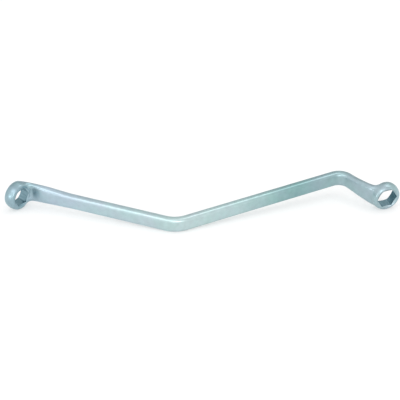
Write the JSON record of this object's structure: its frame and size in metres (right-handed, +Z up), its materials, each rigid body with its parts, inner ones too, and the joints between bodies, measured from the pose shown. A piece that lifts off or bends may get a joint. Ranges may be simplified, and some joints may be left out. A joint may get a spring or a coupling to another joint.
{
  "type": "brake bleeder wrench",
  "caption": "Slim offset box wrench with a V-bent flat shank and angled hexagon ring ends, for turning the bleeder screws of brakes.",
  "frame": {"origin": "centre of the bottom of the bounding box, with the tool lying on its side on a bench", "axes": "+X along the long arm towards the larger ring, +Z up from the bench, the bends lie close to the XY plane"},
  "size_m": [0.2152, 0.1074, 0.0175],
  "materials": {
    "plated_steel": "satin bright plating over forged steel"
  },
  "bodies": {
    "root": {"shank": "plated_steel", "small_box_end": "plated_steel", "large_box_end": "plated_steel"}
  },
  "joints": []
}
